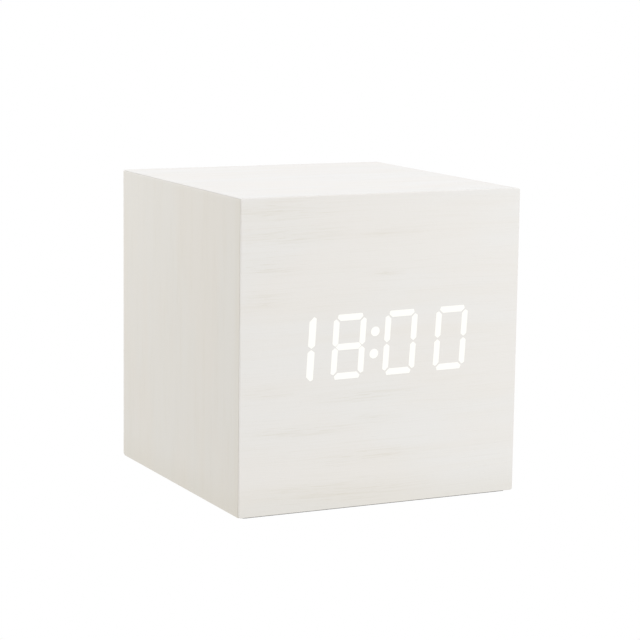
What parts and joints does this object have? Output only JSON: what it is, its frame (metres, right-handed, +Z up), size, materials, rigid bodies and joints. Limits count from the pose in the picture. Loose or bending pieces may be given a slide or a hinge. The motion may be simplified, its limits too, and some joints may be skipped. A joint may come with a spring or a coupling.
{
  "type": "cube desk clock",
  "caption": "Cube-shaped desk clock in whitewashed wood veneer, with seven-segment LED digits that shine through the front, a control panel at the back and a battery bay underneath.",
  "frame": {"origin": "centre of the plane the clock stands on, under the middle of the cube", "axes": "+Z up; the face with the digits looks towards -Y; +X is to the right of someone who faces the digits"},
  "size_m": [0.068, 0.068, 0.0695],
  "materials": {
    "whitewashed_veneer": "white-washed wood-grain veneer, matt lacquer",
    "fibreboard": "raw fibreboard",
    "black_plastic": "fine textured moulding",
    "rubber_foot": "soft foam rubber",
    "screw_steel": "zinc plated",
    "contact_nickel": "nickel plated spring steel",
    "cell_jacket": "printed metallic jacket",
    "circuit_board": "glass-epoxy board with green solder mask",
    "light_mask": "opaque white moulding",
    "diffuser_film": "translucent film",
    "component_black": "moulded",
    "component_can": "drawn metal can",
    "switch_plunger": "moulded",
    "thermistor_bead": "dipped bead",
    "wire_red": "insulated lead",
    "wire_black": "insulated lead",
    "ribbon_grey": "flat cable"
  },
  "bodies": {
    "housing": {"front_veneer": "whitewashed_veneer", "rear_veneer": "whitewashed_veneer", "left_panel": "whitewashed_veneer", "right_panel": "whitewashed_veneer", "top_panel": "whitewashed_veneer", "front_board": "fibreboard", "rear_board": "fibreboard", "base_tray": "black_plastic", "control_panel": "black_plastic", "contact_negative": "contact_nickel", "contact_bridge_left": "contact_nickel", "contact_bridge_right": "contact_nickel", "contact_positive": "contact_nickel", "diffuser_film": "diffuser_film", "segment_mask": "light_mask", "display_board": "circuit_board", "main_board": "circuit_board", "ribbon_cable": "ribbon_grey", "usb_socket": "component_can", "microphone": "component_can", "capacitor": "component_can", "crystal": "component_can", "thermistor": "thermistor_bead", "buzzer": "component_black", "microcontroller": "component_black", "battery_lead_red": "wire_red", "battery_lead_black": "wire_black", "corner_block_front_left": "fibreboard", "base_screw_front_left": "screw_steel", "rubber_foot_front_left": "rubber_foot", "corner_block_front_right": "fibreboard", "base_screw_front_right": "screw_steel", "rubber_foot_front_right": "rubber_foot", "corner_block_rear_left": "fibreboard", "base_screw_rear_left": "screw_steel", "rubber_foot_rear_left": "rubber_foot", "corner_block_rear_right": "fibreboard", "base_screw_rear_right": "screw_steel", "rubber_foot_rear_right": "rubber_foot", "display_screw_1": "screw_steel", "rear_screw_1": "screw_steel", "display_screw_2": "screw_steel", "rear_screw_2": "screw_steel", "display_screw_3": "screw_steel", "rear_screw_3": "screw_steel", "display_screw_4": "screw_steel", "rear_screw_4": "screw_steel", "aaa_cell_1": "cell_jacket", "aaa_cell_2": "cell_jacket", "aaa_cell_3": "cell_jacket", "set_switch_body": "component_black", "down_switch_body": "component_black", "up_switch_body": "component_black"},
    "battery_door": {"battery_door": "black_plastic"},
    "set_button": {"set_button": "black_plastic"},
    "down_button": {"down_button": "black_plastic"},
    "up_button": {"up_button": "black_plastic"},
    "set_plunger": {"set_switch_plunger": "switch_plunger"},
    "down_plunger": {"down_switch_plunger": "switch_plunger"},
    "up_plunger": {"up_switch_plunger": "switch_plunger"}
  },
  "joints": [
    {"name": "battery_door_hinge", "type": "hinge", "parent": "housing", "child": "battery_door", "pos_m": [-0.0262, 0, 0.0004], "axis": [0, 1, 0], "range_deg": [0, 60]},
    {"name": "set_button_press", "type": "slide", "parent": "housing", "child": "set_button", "axis": [0, -1, 0], "range_m": [0, 0.0003], "stiffness_N_per_m": 20},
    {"name": "set_plunger_press", "type": "slide", "parent": "housing", "child": "set_plunger", "axis": [0, -1, 0], "range_m": [0, 0.00026]},
    {"name": "down_button_press", "type": "slide", "parent": "housing", "child": "down_button", "axis": [0, -1, 0], "range_m": [0, 0.0003], "stiffness_N_per_m": 20},
    {"name": "down_plunger_press", "type": "slide", "parent": "housing", "child": "down_plunger", "axis": [0, -1, 0], "range_m": [0, 0.00026]},
    {"name": "up_button_press", "type": "slide", "parent": "housing", "child": "up_button", "axis": [0, -1, 0], "range_m": [0, 0.0003], "stiffness_N_per_m": 20},
    {"name": "up_plunger_press", "type": "slide", "parent": "housing", "child": "up_plunger", "axis": [0, -1, 0], "range_m": [0, 0.00026]}
  ],
  "couplings": [
    {"joint": "set_plunger_press", "follows": "set_button_press", "ratio": 0.86},
    {"joint": "down_plunger_press", "follows": "down_button_press", "ratio": 0.86},
    {"joint": "up_plunger_press", "follows": "up_button_press", "ratio": 0.86}
  ]
}
